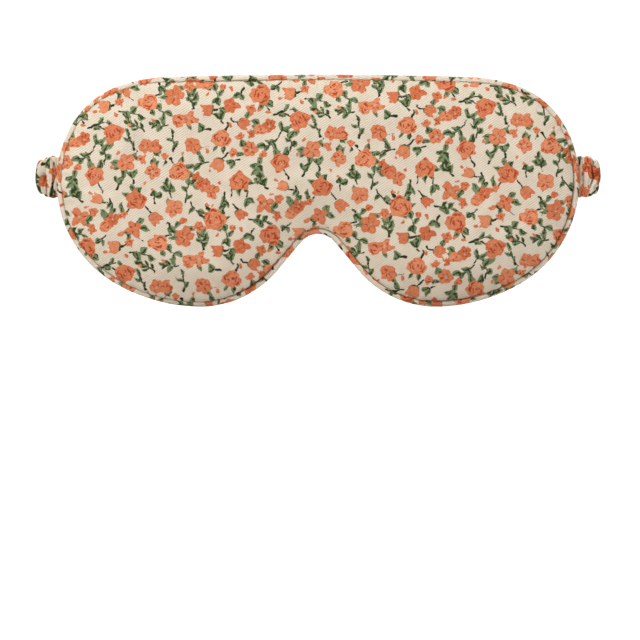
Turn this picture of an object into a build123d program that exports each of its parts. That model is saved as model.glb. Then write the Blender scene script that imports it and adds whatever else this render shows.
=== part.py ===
from build123d import *
import os
from math import copysign, cos, radians, sin

# A padded sleep mask with a removable insert, an envelope-backed pocket, a corded edge and a ruched
# elastic strap. Millimetres. The mask stands upright as worn: X across the face, +Z up, the printed
# front towards -Y and the wearer towards +Y. The seam that joins front and back lies in the plane
# Y = 0, and the origin is at the middle of the width, at the height of the strap.

# Outline of the mask, outside of the corded edge. It starts at the top middle, runs clockwise as seen
# from the front, and each arc is (radius, turn in degrees). The last arc, over the nose, turns back.
TOP_Z = 40.7
TOP_ARC = (1776.0, 2.0)
SHOULDER_ARCS = ((58.0, 18.0), (36.0, 43.0), (46.0, 27.0))
CHEEK_ARCS = ((47.0, 60.0), (68.0, 30.0), (40.0, 50.0))
NOSE_ARC = (8.5, 50.0)

# Edge piping: a cord in a bias strip, with a flange that is sewn between the layers.
PIPING_RADIUS = 1.5
PIPING_BORE_RADIUS = 0.95
CORD_RADIUS = 0.9
FLANGE_INNER_INSET = 8.5
FLANGE_HALF = 0.15
THREAD_INSET = 4.0
THREAD_Y = 0.29
THREAD_RADIUS = 0.11

# Crown of the layers: (distance in from the outline, share of the full height at the middle).
PANEL_INSET = 3.5
CROWN = ((PANEL_INSET, 0.0), (6.5, 0.42), (11.5, 0.80), (20.5, 1.0))
WADDING_CROWN = ((4.9, 0.196), (6.5, 0.42), (11.5, 0.80), (20.5, 1.0))
RIM_STEP = 0.15

# Each layer's outer surface: (Y at its rim, Y at the middle), and its thickness.
FRONT = (-1.0, -6.4)
CLOTH = 0.4
WADDING_OUTER = (-0.45, -5.85)
WADDING_INNER = (-0.45, -2.45)
LINING = (-0.40, -2.40)
LINING_CLOTH = 0.2
BACK = (1.3, 2.7)
FLAP = (2.0, 3.4)
HEM_FOLD = 0.3
STITCH = 0.2
STITCH_GAP = 0.02

# Removable insert in the pocket: (distance in from the outline, half thickness).
INSERT_CROWN = ((9.0, 0.0), (10.5, 1.0), (14.0, 1.6), (22.0, 1.85))
INSERT_CLOTH = 0.25
INSERT_GAP = 0.03
INSERT_THREAD_INSET = 8.78

# Envelope opening. The flap is sewn in at the -X side and lies over the back panel's hemmed edge.
FLAP_EDGE_X = -38.0
FLAP_HEM = 8.0
BACK_EDGE_X = -58.0
BACK_HEM = 6.0
STITCH_INSET = 0.8
STITCH_WIDTH = 0.4
STITCH_LENGTH = 2.1
STITCH_PITCH = 3.0
STITCH_RANGE = (-44.0, 34.0)

# Elastic strap in its ruched cover. Each end is sewn flat into the side seam, passes over the piping,
# turns back and crosses behind the mask. The ends stay with the mask and the middle moves.
STRAP_HEIGHT = 16.0
STRAP_THICK = 3.0
SLEEVE_HEIGHT = 14.2
SLEEVE_THICK = 1.4
ELASTIC_HEIGHT = 13.0
ELASTIC_THICK = 1.2
STRAP_END_X = 114.0
TAIL_X = 101.9
TAIL_Y = 3.2
TAIL_HEM = 1.0
TURN_RADIUS = 3.45
STRAP_CUT_X = 94.0
STRAP_GAP = 0.2

# The sewn-flat end of the strap, as (inset, Y) of its side towards the piping and of its other side.
TAB_HEIGHT = 14.0
TAB_INNER_INSET = 8.0
TAB_THICK = 0.4
TAB_OUTER = ((3.25, 0.45), (2.65, 1.45), (1.2, 1.7), (1.2, 2.2))
TAB_HOLLOW = ((3.42, 0.85), (3.42, 1.35), (2.9, 1.7), (2.0, 2.0), (2.0, 2.3))

BIG = 400.0


def side_arcs(inset):
    """The right half of the outline, moved in by inset, as (start, middle, end) points in X and Z."""
    arcs = []
    x, z, heading = 0.0, TOP_Z - inset, 0.0
    for radius, turn in (TOP_ARC, *SHOULDER_ARCS, *CHEEK_ARCS):
        r = radius - inset
        points = [(x, z)]
        for share in (0.5, 1.0):
            angle = radians(heading + share * turn)
            start = radians(heading)
            points.append((x + r * (sin(angle) - sin(start)), z - r * (cos(start) - cos(angle))))
        arcs.append(points)
        x, z = points[2]
        heading += turn
    # The straight flank of the nose opening is as long as brings the last arc to X = 0.
    r = NOSE_ARC[0] + inset
    flank = radians(NOSE_ARC[1])
    flank_end_x = r * sin(flank)
    run = (x - flank_end_x) / cos(flank)
    flank_end_z = z + run * sin(flank)
    half = flank / 2
    nose_z = flank_end_z + r * (1 - cos(flank))
    nose_middle = (r * sin(half), nose_z - r * (1 - cos(half)))
    arcs.append([(x, z), None, (flank_end_x, flank_end_z)])
    arcs.append([(flank_end_x, flank_end_z), nose_middle, (0.0, nose_z)])
    return arcs


def edge_of(points, y, mirrored):
    """One edge of the outline at height y, from its start, middle and end points."""
    side = -1 if mirrored else 1
    start, middle, end = (None if p is None else Vector(side * p[0], y, p[1]) for p in points)
    if mirrored:
        start, end = end, start
    if middle is None:
        return Edge.make_line(start, end)
    return Edge.make_three_point_arc(start, middle, end)


def outline(inset, y):
    """The closed outline of the mask, moved in by inset, in the plane Y = y."""
    arcs = side_arcs(inset)
    right = [edge_of(points, y, mirrored=False) for points in arcs]
    left = [edge_of(points, y, mirrored=True) for points in reversed(arcs)]
    return Wire(right + left)


def dome(levels):
    """A solid through the outline at each level, (inset, Y), with flat ends."""
    return Solid.make_loft([outline(inset, y) for inset, y in levels], ruled=True)


def crown_levels(surface, crown):
    rim, full = surface
    return [(inset, rim + (full - rim) * share) for inset, share in crown]


def raised(surface, by):
    """The surface moved out from the seam plane by a distance."""
    return tuple(y + by * copysign(1, surface[1]) for y in surface)


def shell(surface, thickness):
    """A crowned sheet of cloth, with surface as its outer side."""
    inner = raised(surface, -thickness)
    outer_levels = [(PANEL_INSET, inner[0])] + crown_levels(surface, CROWN)
    below_rim = inner[0] - copysign(RIM_STEP, surface[1])
    inner_levels = [(PANEL_INSET + RIM_STEP, below_rim)] + [
        (inset + RIM_STEP, y) for inset, y in crown_levels(inner, CROWN)
    ]
    return dome(outer_levels) - dome(inner_levels)


def slab(x_low, x_high):
    """Everything between two planes of X."""
    return Pos((x_low + x_high) / 2, 0, 0) * Box(x_high - x_low, BIG, BIG)


def stitch_row(surface, x, z_low, z_high):
    """Separate stitches along Z that lie on a cloth surface."""
    thread = shell(raised(surface, STITCH + STITCH_GAP), STITCH)
    count = int((z_high - z_low) / STITCH_PITCH)
    stitches = []
    for i in range(count):
        z = z_low + (i + 0.5) * STITCH_PITCH
        cutter = Pos(x, 0, z) * Box(STITCH_WIDTH, BIG, STITCH_LENGTH)
        stitches += (thread & cutter).solids()
    return Compound(children=stitches)


def ring_tube(inset, y, radius):
    """A round bar that follows the whole outline."""
    path = outline(inset, y)
    start = Plane(origin=path @ 0, z_dir=path % 0)
    return sweep(start * Circle(radius), path=path, transition=Transition.RIGHT)


def insert_levels(side, gap):
    """One half of the insert, side -1 for the front, moved in by gap from its outer surface."""
    return [(inset + gap, side * max(0.0, half - gap)) for inset, half in INSERT_CROWN]


def insert_cover(side):
    """Half of the pouch: a crowned sheet that meets the other half in the seam plane."""
    inner = [(INSERT_CROWN[0][0] + INSERT_CLOTH, -side * RIM_STEP)]
    inner += [
        (inset + INSERT_CLOTH, side * (half - INSERT_CLOTH)) for inset, half in INSERT_CROWN[1:]
    ]
    return dome(insert_levels(side, 0.0)) - dome(inner)


def insert_filling():
    gap = INSERT_CLOTH + INSERT_GAP
    halves = []
    for side in (-1, 1):
        levels = [(INSERT_CROWN[0][0] + 2 * gap, 0.0)]
        levels += [(inset + gap, side * (half - gap)) for inset, half in INSERT_CROWN[1:]]
        halves.append(dome(levels))
    return halves[0] + halves[1]


def strap_band(side, thickness, height, tail_x):
    """One strap end: the tail over the piping, the turn, and the start of the return run."""
    turn_x = STRAP_END_X - TURN_RADIUS - STRAP_THICK / 2
    return_y = TAIL_Y + 2 * TURN_RADIUS
    turn = Pos(turn_x, TAIL_Y + TURN_RADIUS) * (
        Circle(TURN_RADIUS + thickness / 2) - Circle(TURN_RADIUS - thickness / 2)
    )
    turn &= Pos(turn_x + BIG / 2, 0) * Rectangle(BIG, BIG)
    tail = Pos((tail_x + turn_x) / 2, TAIL_Y) * Rectangle(turn_x - tail_x, thickness)
    run_x = STRAP_CUT_X + STRAP_GAP / 2
    run = Pos((run_x + turn_x) / 2, return_y) * Rectangle(turn_x - run_x, thickness)
    band = extrude(turn + tail + run, height / 2, both=True)
    return band if side > 0 else mirror(band, about=Plane.YZ)


def seam_tab(side):
    """The flattened end of the strap cover, from inside the side seam up over the piping."""
    low = TAB_OUTER[0][1]
    ring = dome(TAB_OUTER) - dome(TAB_HOLLOW)
    ring -= dome([(TAB_INNER_INSET, low - 0.1), (TAB_INNER_INSET, low + TAB_THICK + 0.1)])
    return ring & (Pos(side * STRAP_END_X, 0, 0) * Box(STRAP_END_X, BIG, TAB_HEIGHT))


def strap_run(thickness, height):
    """The straight middle of the strap."""
    length = 2 * STRAP_CUT_X - STRAP_GAP
    return Pos(0, TAIL_Y + 2 * TURN_RADIUS, 0) * Box(length, thickness, height)


def front_parts():
    # The batting fills the space between two crowned surfaces.
    hollow = crown_levels(WADDING_INNER, WADDING_CROWN)
    rim_inset, rim_y = hollow[0]
    wadding = dome([(rim_inset, rim_y)] + crown_levels(WADDING_OUTER, WADDING_CROWN))
    cut = [(rim_inset + RIM_STEP, rim_y + RIM_STEP)]
    cut += [(inset + RIM_STEP, y) for inset, y in hollow]
    return {
        "front_panel": shell(FRONT, CLOTH),
        "wadding": wadding - dome(cut),
        "inner_lining": shell(LINING, LINING_CLOTH),
    }


def back_parts():
    back = shell(BACK, CLOTH) & slab(BACK_EDGE_X, BIG)
    back_hem = shell(raised(BACK, -CLOTH), HEM_FOLD) & slab(BACK_EDGE_X, BACK_EDGE_X + BACK_HEM)
    flap = shell(FLAP, CLOTH) & slab(-BIG, FLAP_EDGE_X)
    hem_surface = raised(FLAP, HEM_FOLD)
    flap_hem = shell(hem_surface, HEM_FOLD) & slab(FLAP_EDGE_X - FLAP_HEM, FLAP_EDGE_X)
    flap_line = FLAP_EDGE_X - FLAP_HEM + STITCH_INSET
    back_line = BACK_EDGE_X + BACK_HEM - STITCH_INSET
    return {
        "back_panel": back + back_hem,
        "back_hem_stitches": stitch_row(BACK, back_line, *STITCH_RANGE),
        "flap_panel": flap + flap_hem,
        "flap_hem_stitches": stitch_row(hem_surface, flap_line, *STITCH_RANGE),
    }


def edge_parts():
    cover = ring_tube(PIPING_RADIUS, 0, PIPING_RADIUS) - ring_tube(PIPING_RADIUS, 0, PIPING_BORE_RADIUS)
    flange_start = PIPING_RADIUS + (PIPING_RADIUS + PIPING_BORE_RADIUS) / 2
    flange = dome([(flange_start, -FLANGE_HALF), (flange_start, FLANGE_HALF)])
    flange -= dome([(FLANGE_INNER_INSET, -FLANGE_HALF - 1), (FLANGE_INNER_INSET, FLANGE_HALF + 1)])
    return {
        "piping_cover": cover + flange,
        "piping_cord": ring_tube(PIPING_RADIUS, 0, CORD_RADIUS),
        "seam_thread": ring_tube(THREAD_INSET, THREAD_Y, THREAD_RADIUS),
    }


def insert_parts():
    return {
        "insert_front_cover": insert_cover(-1),
        "insert_back_cover": insert_cover(1),
        "insert_filling": insert_filling(),
        "insert_seam_thread": ring_tube(INSERT_THREAD_INSET, 0, THREAD_RADIUS),
    }


def strap_parts():
    made = {
        "strap_cover_middle": strap_run(STRAP_THICK, STRAP_HEIGHT) - strap_run(SLEEVE_THICK, SLEEVE_HEIGHT),
        "strap_elastic_middle": strap_run(ELASTIC_THICK, ELASTIC_HEIGHT),
    }
    for name, side in (("left", -1), ("right", 1)):
        cover = strap_band(side, STRAP_THICK, STRAP_HEIGHT, TAIL_X) + seam_tab(side)
        sleeve = strap_band(side, SLEEVE_THICK, SLEEVE_HEIGHT, TAIL_X + TAIL_HEM)
        made[f"strap_cover_{name}_end"] = cover - sleeve
        elastic = strap_band(side, ELASTIC_THICK, ELASTIC_HEIGHT, TAIL_X + TAIL_HEM + STRAP_GAP)
        made[f"strap_elastic_{name}_end"] = elastic
    return made


os.makedirs("parts", exist_ok=True)
for node, shape in {
    **front_parts(),
    **back_parts(),
    **edge_parts(),
    **insert_parts(),
    **strap_parts(),
}.items():
    export_step(shape, f"parts/{node}.step")
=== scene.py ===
import math

import bmesh
import bpy
import numpy as np
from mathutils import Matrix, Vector, geometry, kdtree


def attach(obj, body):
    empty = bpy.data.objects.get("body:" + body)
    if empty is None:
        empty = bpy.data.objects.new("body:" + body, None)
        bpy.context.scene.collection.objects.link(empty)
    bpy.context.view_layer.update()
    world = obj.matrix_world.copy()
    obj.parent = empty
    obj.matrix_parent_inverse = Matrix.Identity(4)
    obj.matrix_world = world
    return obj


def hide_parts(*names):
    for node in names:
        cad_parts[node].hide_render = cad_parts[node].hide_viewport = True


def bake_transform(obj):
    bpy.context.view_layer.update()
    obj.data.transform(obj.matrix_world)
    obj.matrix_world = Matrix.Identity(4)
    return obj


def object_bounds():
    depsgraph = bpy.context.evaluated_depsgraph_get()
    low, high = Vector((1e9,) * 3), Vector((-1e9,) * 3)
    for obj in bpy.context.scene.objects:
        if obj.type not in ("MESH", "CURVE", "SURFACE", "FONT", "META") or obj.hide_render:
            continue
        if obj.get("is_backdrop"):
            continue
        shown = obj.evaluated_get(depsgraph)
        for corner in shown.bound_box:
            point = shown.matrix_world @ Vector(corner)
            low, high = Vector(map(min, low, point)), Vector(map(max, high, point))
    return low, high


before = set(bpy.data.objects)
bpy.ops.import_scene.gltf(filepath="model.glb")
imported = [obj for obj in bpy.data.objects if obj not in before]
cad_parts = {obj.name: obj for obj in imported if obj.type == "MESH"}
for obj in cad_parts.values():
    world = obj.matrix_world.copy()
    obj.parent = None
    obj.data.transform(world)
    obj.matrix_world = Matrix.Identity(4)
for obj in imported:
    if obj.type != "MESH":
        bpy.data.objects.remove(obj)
cad_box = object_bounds()

# Shapes are worked out in millimetres and written to the meshes in metres, in the CAD frame: X across the
# face, +Z up, the printed front towards -Y and the seam in the plane Y = 0.
MM = 0.001

# The outside of the piping, from the middle of the top edge: a chain of arcs (radius, turn in degrees), then
# a straight flank and the nose notch.
TOP_Z = 40.7
ARCS = ((1776.0, 2.0), (58.0, 18.0), (36.0, 43.0), (46.0, 27.0), (47.0, 60.0), (68.0, 30.0), (40.0, 50.0))
NOSE_RADIUS = 8.5
NOSE_TURN = 50.0
PIPING = 1.5

# ---------------------------------------------------------------- outline


def arc(x, z, heading, radius, turn, pitch):
    """Points and headings along an arc, and where it ends. A negative turn bends the other way."""
    count = max(2, int(abs(math.radians(turn)) * radius / pitch))
    h = np.radians(heading + turn * np.arange(count) / count)
    h0, sign = math.radians(heading), math.copysign(1, turn)
    end = math.radians(heading + turn)
    px = x + sign * radius * (np.sin(h) - math.sin(h0))
    pz = z - sign * radius * (math.cos(h0) - np.cos(h))
    last_x = x + sign * radius * (math.sin(end) - math.sin(h0))
    last_z = z - sign * radius * (math.cos(h0) - math.cos(end))
    return px, pz, h, (last_x, last_z)


def make_outline(pitch=0.1):
    """The outside of the piping: points, outward normals and length along it, clockwise from the top."""
    xs, zs, hs = [], [], []
    x, z, heading = 0.0, TOP_Z, 0.0
    for radius, turn in ARCS:
        px, pz, h, (x, z) = arc(x, z, heading, radius, turn, pitch)
        xs, zs, hs = xs + [px], zs + [pz], hs + [h]
        heading += turn
    flank = math.radians(NOSE_TURN)
    run = (x - NOSE_RADIUS * math.sin(flank)) / math.cos(flank)
    t = np.arange(0, run, pitch)
    xs, zs = xs + [x - t * math.cos(flank)], zs + [z + t * math.sin(flank)]
    hs = hs + [np.full(len(t), math.radians(heading))]
    x, z = x - run * math.cos(flank), z + run * math.sin(flank)
    px, pz, h, (x, z) = arc(x, z, heading, NOSE_RADIUS, -NOSE_TURN, pitch)
    xs, zs, hs = xs + [px, [x]], zs + [pz, [z]], hs + [h, [math.pi]]
    x, z, h = np.concatenate(xs), np.concatenate(zs), np.concatenate(hs)
    both_halves = lambda half: np.vstack([half, half[-2:0:-1] * (-1, 1)])
    points = both_halves(np.stack([x, z], 1))
    normals = both_halves(np.stack([np.sin(h), np.cos(h)], 1))
    gaps = np.hypot(*(np.roll(points, -1, 0) - points).T)
    length = np.concatenate([[0], np.cumsum(gaps)])
    return points, normals, length[:-1], length[-1]


EDGE, NORMAL, ALONG, AROUND = make_outline()


def edge_at(s):
    """Points and normals of the outline at lengths s along it."""
    s = np.asarray(s) % AROUND
    stop = np.append(ALONG, AROUND)
    wrap = lambda a: np.vstack([a, a[:1]])
    columns = [np.interp(s, stop, wrap(a)[:, k]) for a in (EDGE, NORMAL) for k in (0, 1)]
    return np.stack(columns[:2], 1), np.stack(columns[2:], 1)


def lookup(points):
    """Finds the nearest of some X, Z points."""
    tree = kdtree.KDTree(len(points))
    for i, (x, z) in enumerate(points):
        tree.insert((x, 0.0, z), i)
    tree.balance()
    return tree


EDGE_TREE = lookup(EDGE)


def inset_of(x, z):
    """How far each point lies inside the outline, and where along it the nearest edge is."""
    near = np.array([EDGE_TREE.find((a, 0.0, b))[1] for a, b in zip(x, z)])
    d = ((EDGE[near] - np.stack([x, z], 1)) * NORMAL[near]).sum(1)
    return d, ALONG[near]


# ---------------------------------------------------------------- smooth random fields


def between(value, a, b, soft=False):
    """Values of a grid at points between its nodes. value takes the nodes' whole numbers."""
    i, j = np.floor(a).astype(int), np.floor(b).astype(int)
    fa, fb = a - i, b - j
    if soft:
        fa, fb = fa * fa * (3 - 2 * fa), fb * fb * (3 - 2 * fb)
    low = value(i, j) * (1 - fa) + value(i + 1, j) * fa
    high = value(i, j + 1) * (1 - fa) + value(i + 1, j + 1) * fa
    return low * (1 - fb) + high * fb


def wander(u, v, scale_u, scale_v, seed, period_u=None):
    """Smooth noise of about -1 to 1, with features of scale_u by scale_v. It repeats in u after period_u."""
    grid = np.random.default_rng(seed).uniform(-1, 1, (97, 101))
    a, rows = u / scale_u, 97
    if period_u is not None:
        rows = max(3, int(round(period_u / scale_u)))
        a = u / period_u * rows
    return between(lambda p, q: grid[p % rows, q % 101], a, v / scale_v, soft=True)


def step(x, low, high):
    """A smooth rise from 0 at low to 1 at high."""
    t = np.clip((x - low) / (high - low), 0, 1)
    return t * t * (3 - 2 * t)


def hump(x, at, width):
    """A smooth hill of 1 at a place."""
    return np.exp(-((x - at) / width) ** 2)


def puckers(s, d, seed, period):
    """Gathers along the seam, from -1 to 1, that come and go."""
    phase = s + 1.6 * wander(s, d, 9.0, 30.0, seed, AROUND)
    strength = 0.6 + 0.4 * wander(s, d, 17.0, 60.0, seed + 1, AROUND)
    return np.sin(2 * math.pi * phase / period) * strength


# ---------------------------------------------------------------- the printed pattern


# A repeating tile of scattered flowers, buds and sprigs. Each layer holds a distance in millimetres, above 0
# inside the layer's shapes, on a grid of small cells.
TILE_W, TILE_H, CELL = 74.0, 56.0, 0.1
COLS, ROWS = int(round(TILE_W / CELL)), int(round(TILE_H / CELL))
LAYERS = ("petal", "swirl", "leaf", "vein", "stem", "heart", "tone")
tile = {name: np.full((ROWS, COLS), -1.0) for name in LAYERS}
tile["tone"] = np.zeros((ROWS, COLS))


def patch(x, y, reach):
    """Index grids and local coordinates of the tile's cells within reach of a point."""
    c = np.arange(int((x - reach) / CELL), int((x + reach) / CELL) + 1)
    r = np.arange(int((y - reach) / CELL), int((y + reach) / CELL) + 1)
    gx, gy = np.meshgrid(c * CELL - x, r * CELL - y)
    # A hand-drawn wobble, the same at both edges of the tile.
    a, b = 2 * math.pi * (gx + x) / TILE_W, 2 * math.pi * (gy + y) / TILE_H
    gx = gx + 0.26 * np.sin(9 * a + 12 * b) + 0.17 * np.sin(24 * a - 7 * b + 2.0)
    gy = gy + 0.26 * np.sin(13 * a - 9 * b + 1.0) + 0.17 * np.sin(6 * a + 19 * b + 0.5)
    return np.ix_(r % ROWS, c % COLS), gx, gy


def turned(gx, gy, angle):
    """Coordinates along and across a direction."""
    c, s = math.cos(angle), math.sin(angle)
    return gx * c + gy * s, gy * c - gx * s


def lay(name, where, value):
    """Add a shape to a layer."""
    tile[name][where] = np.maximum(tile[name][where], value)


def petals(where, shape, lines, tone):
    """Print a coral shape with its darker lines over what is there."""
    over = shape > np.minimum(tile["petal"][where], 0.0)
    tile["swirl"][where] = np.where(over, lines, tile["swirl"][where])
    tile["tone"][where] = np.where(over, tone, tile["tone"][where])
    lay("petal", where, shape)


def leaf_shape(gx, gy, x, y, angle, length, width, bend=0.0):
    """Inside distance of a pointed leaf, and its local coordinates."""
    a, b = turned(gx - x, gy - y, angle)
    t = a / length
    b = b - bend * length * np.clip(t, 0, 1) * (1 - np.clip(t, 0, 1)) * 4
    body = width * np.sin(np.pi * np.clip(t, 0, 1) ** 0.8) - np.abs(b)
    beyond = np.maximum(-a, a - length)
    return np.where(beyond > 0, -np.hypot(np.maximum(beyond, 0), b), body), a, b


def leaf(where, gx, gy, x, y, angle, length, width, rng):
    """A leaf with a dark midrib and one dark side."""
    bend = rng.uniform(-0.14, 0.14)
    body, a, b = leaf_shape(gx, gy, x, y, angle, length, width, bend)
    lay("leaf", where, body)
    t = a / length
    midrib = np.where((t > -0.08) & (t < 0.8), 0.36 - 0.18 * t - np.abs(b), -1)
    side = rng.choice((-1, 1))
    weight = rng.uniform(0.15, 0.62)
    rim = np.where((b * side > 0) & (t > 0.08) & (t < 0.9), weight * np.sin(np.pi * t) - body, -1)
    brush = np.where(body > -0.05, np.maximum(midrib, np.where(body > 0, rim, -1)), -1)
    over = body > -0.05
    tile["vein"][where] = np.where(over, brush, tile["vein"][where])


def stroke(x, y, angle, length, curl, width, name="stem"):
    """A thin curved line; gives its points and directions for leaves to grow from."""
    n = max(3, int(length / 0.18))
    t = np.linspace(0, 1, n)
    h = angle + curl * t
    px = x + np.cumsum(np.cos(h)) * length / n
    py = y + np.cumsum(np.sin(h)) * length / n
    where, gx, gy = patch(px.mean(), py.mean(), length * 0.6 + 1.0)
    near = np.full(gx.shape, 9.0)
    for i in range(n):
        near = np.minimum(near, np.hypot(gx + px.mean() - px[i], gy + py.mean() - py[i]) + 0.12 * width * t[i])
    lay(name, where, width - near)
    return px, py, h


def rose(x, y, r, rng):
    """A full flower with a broken spiral of darker lines."""
    where, gx, gy = patch(x, y, r * 1.5)
    gx, gy = turned(gx, gy * rng.uniform(1.0, 1.2), rng.uniform(0, 6.3))
    rho, th = np.hypot(gx, gy), np.arctan2(gy, gx)
    a, b, c, d = rng.uniform(0, 6.3, 4)
    edge = r * (1 + 0.09 * np.sin(3 * th + a) + 0.07 * np.sin(5 * th + b) + 0.045 * np.sin(9 * th + c))
    turn = rho / 1.25 + 0.10 * np.sin(3 * th + b) + rng.choice((-1, 1)) * th / (2 * math.pi) + d
    ring = np.abs(turn - np.round(turn)) * 1.25
    gap = np.sin(2 * th + rho * 1.3 + a) + 0.35
    lines = np.minimum(0.26 * np.clip(gap, -1, 1) - ring + 0.08, edge - 0.45 - rho)
    petals(where, edge - rho, lines, rng.uniform(-0.6, 1.0))


def blossom(x, y, r, rng, count=5):
    """A flower of separate petals, some with a pale heart."""
    where, gx, gy = patch(x, y, r * 1.5)
    rho, th = np.hypot(gx, gy), np.arctan2(gy, gx)
    spin = rng.uniform(0, 6.3)
    shape = r * 0.45 - rho
    for k in range(count):
        a = spin + 2 * math.pi * k / count + rng.uniform(-0.2, 0.2)
        d, size = r * rng.uniform(0.50, 0.66), r * rng.uniform(0.34, 0.48)
        la, lb = turned(gx - d * math.cos(a), gy - d * math.sin(a), a)
        shape = np.maximum(shape, size - np.hypot(la * 0.86, lb))
    ray = np.abs(((th - spin) * count / (2 * math.pi)) % 1 - 0.5) * 2 * math.pi / count * rho
    lines = np.where((rho > 0.2 * r) & (rho < 0.75 * r), 0.24 - ray, -1)
    petals(where, shape, lines, rng.uniform(-1.0, 0.6))
    if r > 2.2 and rng.uniform() < 0.45:
        lay("heart", where, 0.13 * r + 0.06 * np.sin(3 * th) - rho)


def bell(x, y, size, angle, rng):
    """A flower seen from the side, with its sepals and stem."""
    where, gx, gy = patch(x, y, size * 2.0)
    shape, lines = np.full(gx.shape, -9.0), np.full(gx.shape, -1.0)
    for lean in (-0.42, 0.42, 0.0):
        body, _, _ = leaf_shape(gx, gy, 0, 0, angle + lean, size * 1.35, size * 0.36)
        lines = np.where(body > 0, 0.15 - body, lines)
        lines = np.where(body > 0.55, -1, lines)
        shape = np.maximum(shape, body)
    petals(where, shape, np.where(shape < 0.3, -1, lines), rng.uniform(-0.8, 0.8))
    for lean in (-0.75, 0.75):
        x0, y0 = -0.3 * math.cos(angle), -0.3 * math.sin(angle)
        leaf(where, gx, gy, x0, y0, angle + lean, size * 0.72, size * 0.19, rng)
    stroke(x, y, angle + math.pi, size * 0.9, rng.uniform(-0.6, 0.6), 0.44)


def sprig(x, y, length, angle, leaves, rng):
    """A twig with leaves at both sides."""
    px, py, h = stroke(x, y, angle, length, rng.uniform(-0.9, 0.9), 0.44)
    where, gx, gy = patch(x, y, length + 5.0)
    for k in range(leaves):
        i = int((0.25 + 0.75 * k / max(1, leaves - 1)) * (len(px) - 1))
        lean = 0.0 if k == leaves - 1 else rng.choice((-1, 1)) * rng.uniform(0.5, 0.95)
        if k < leaves - 1:
            lean = math.copysign(lean, 1 if k % 2 else -1)
        size = rng.uniform(2.9, 4.5)
        leaf(where, gx, gy, px[i] - x, py[i] - y, h[i] + lean, size, size * rng.uniform(0.22, 0.31), rng)


def foliage(x, y, r, rng, count):
    """Leaves in a fan from behind a flower."""
    where, gx, gy = patch(x, y, r + 6.0)
    base = rng.uniform(0, 6.3)
    for k in range(count):
        a = base + (k - (count - 1) / 2) * rng.uniform(0.55, 0.8)
        size = rng.uniform(3.2, 4.9)
        lean, width = rng.uniform(-0.35, 0.35), size * rng.uniform(0.24, 0.31)
        leaf(where, gx, gy, 0.7 * r * math.cos(a), 0.7 * r * math.sin(a), a + lean, size, width, rng)


def make_print():
    """Fill the tile: the largest motifs go down first, each in the widest gap left."""
    rng = np.random.default_rng(41)
    plan = [("rose", 5.3)] * 9 + [("double", 4.6)] * 5 + [("blossom", 4.1)] * 9 + [("bell", 3.8)] * 7
    plan += [("sprig", 3.7)] * 19 + [("pair", 2.6)] * 12 + [("bud", 2.2)] * 16 + [("chip", 1.4)] * 22
    placed = []
    for kind, r in plan:
        spots = rng.uniform((0, 0), (TILE_W, TILE_H), (240, 2))
        room = np.full(len(spots), 99.0)
        for _, pr, (qx, qy) in placed:
            dx = np.abs(spots[:, 0] - qx)
            dy = np.abs(spots[:, 1] - qy)
            apart = np.hypot(np.minimum(dx, TILE_W - dx), np.minimum(dy, TILE_H - dy))
            room = np.minimum(room, apart - pr - r)
        placed.append((kind, r, tuple(spots[np.argmax(room)])))
    for kind, r, (x, y) in placed:
        angle = rng.uniform(0, 2 * math.pi)
        c, s = math.cos(angle), math.sin(angle)
        if kind == "rose":
            foliage(x, y, 3.6, rng, int(rng.integers(2, 4)))
            length, curl = rng.uniform(4, 6), rng.uniform(-1, 1)
            stroke(x + 2 * c, y + 2 * s, angle, length, curl, 0.43)
            rose(x, y, rng.uniform(3.7, 4.7), rng)
        elif kind == "double":
            foliage(x, y, 3.0, rng, 2)
            off = rng.uniform(1.7, 2.2)
            rose(x + off * c, y + off * s, rng.uniform(2.5, 3.0), rng)
            blossom(x - off * c, y - off * s, rng.uniform(2.6, 3.1), rng)
        elif kind == "blossom":
            foliage(x, y, 2.6, rng, int(rng.integers(1, 4)))
            blossom(x, y, rng.uniform(2.9, 3.8), rng, int(rng.choice((4, 5, 5, 6))))
            if rng.uniform() < 0.5:
                for k in range(4):
                    out, a = 3.4 + 0.85 * k, angle + 0.07 * k
                    stroke(x + out * math.cos(a), y + out * math.sin(a), angle, 0.25, 0, 0.34)
        elif kind == "bell":
            bell(x - 1.6 * c, y - 1.6 * s, rng.uniform(3.5, 4.2), angle, rng)
        elif kind == "sprig":
            length = rng.uniform(5.0, 7.5)
            sprig(x - length / 2 * c, y - length / 2 * s, length, angle, int(rng.integers(3, 6)), rng)
        elif kind == "pair":
            where, gx, gy = patch(x, y, 6.0)
            for lean in (-0.55, 0.55):
                leaf(where, gx, gy, 0, 0, angle + lean, rng.uniform(3.2, 4.4), 1.05, rng)
            stroke(x, y, angle + math.pi, 2.2, rng.uniform(-0.8, 0.8), 0.41)
        elif kind == "bud":
            foliage(x, y, 1.3, rng, 1)
            if rng.uniform() < 0.5:
                blossom(x, y, rng.uniform(1.7, 2.1), rng)
            else:
                rose(x, y, rng.uniform(1.3, 1.8), rng)
        else:
            where, gx, gy = patch(x, y, 3.0)
            shape, _, _ = leaf_shape(gx, gy, 0, 0, angle, rng.uniform(1.6, 2.4), rng.uniform(0.55, 0.8))
            petals(where, shape, np.full(gx.shape, -1.0), rng.uniform(-1, 1))


make_print()
# The print runs slightly off the cloth's straight grain.
TILT = math.radians(4.0)


def printed(u, v):
    """Every layer of the print at points u, v of the flat cloth."""
    a, b = u * math.cos(TILT) + v * math.sin(TILT), v * math.cos(TILT) - u * math.sin(TILT)
    a, b = (a + 17.0) / CELL, (b + 9.0) / CELL
    return {name: between(lambda p, q: grid[q % ROWS, p % COLS], a, b) for name, grid in tile.items()}


# ---------------------------------------------------------------- meshes


def added(name, data, place=(0, 0, 0)):
    """An object of the scene."""
    obj = bpy.data.objects.new(name, data)
    obj.location = place
    bpy.context.scene.collection.objects.link(obj)
    return obj


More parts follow.
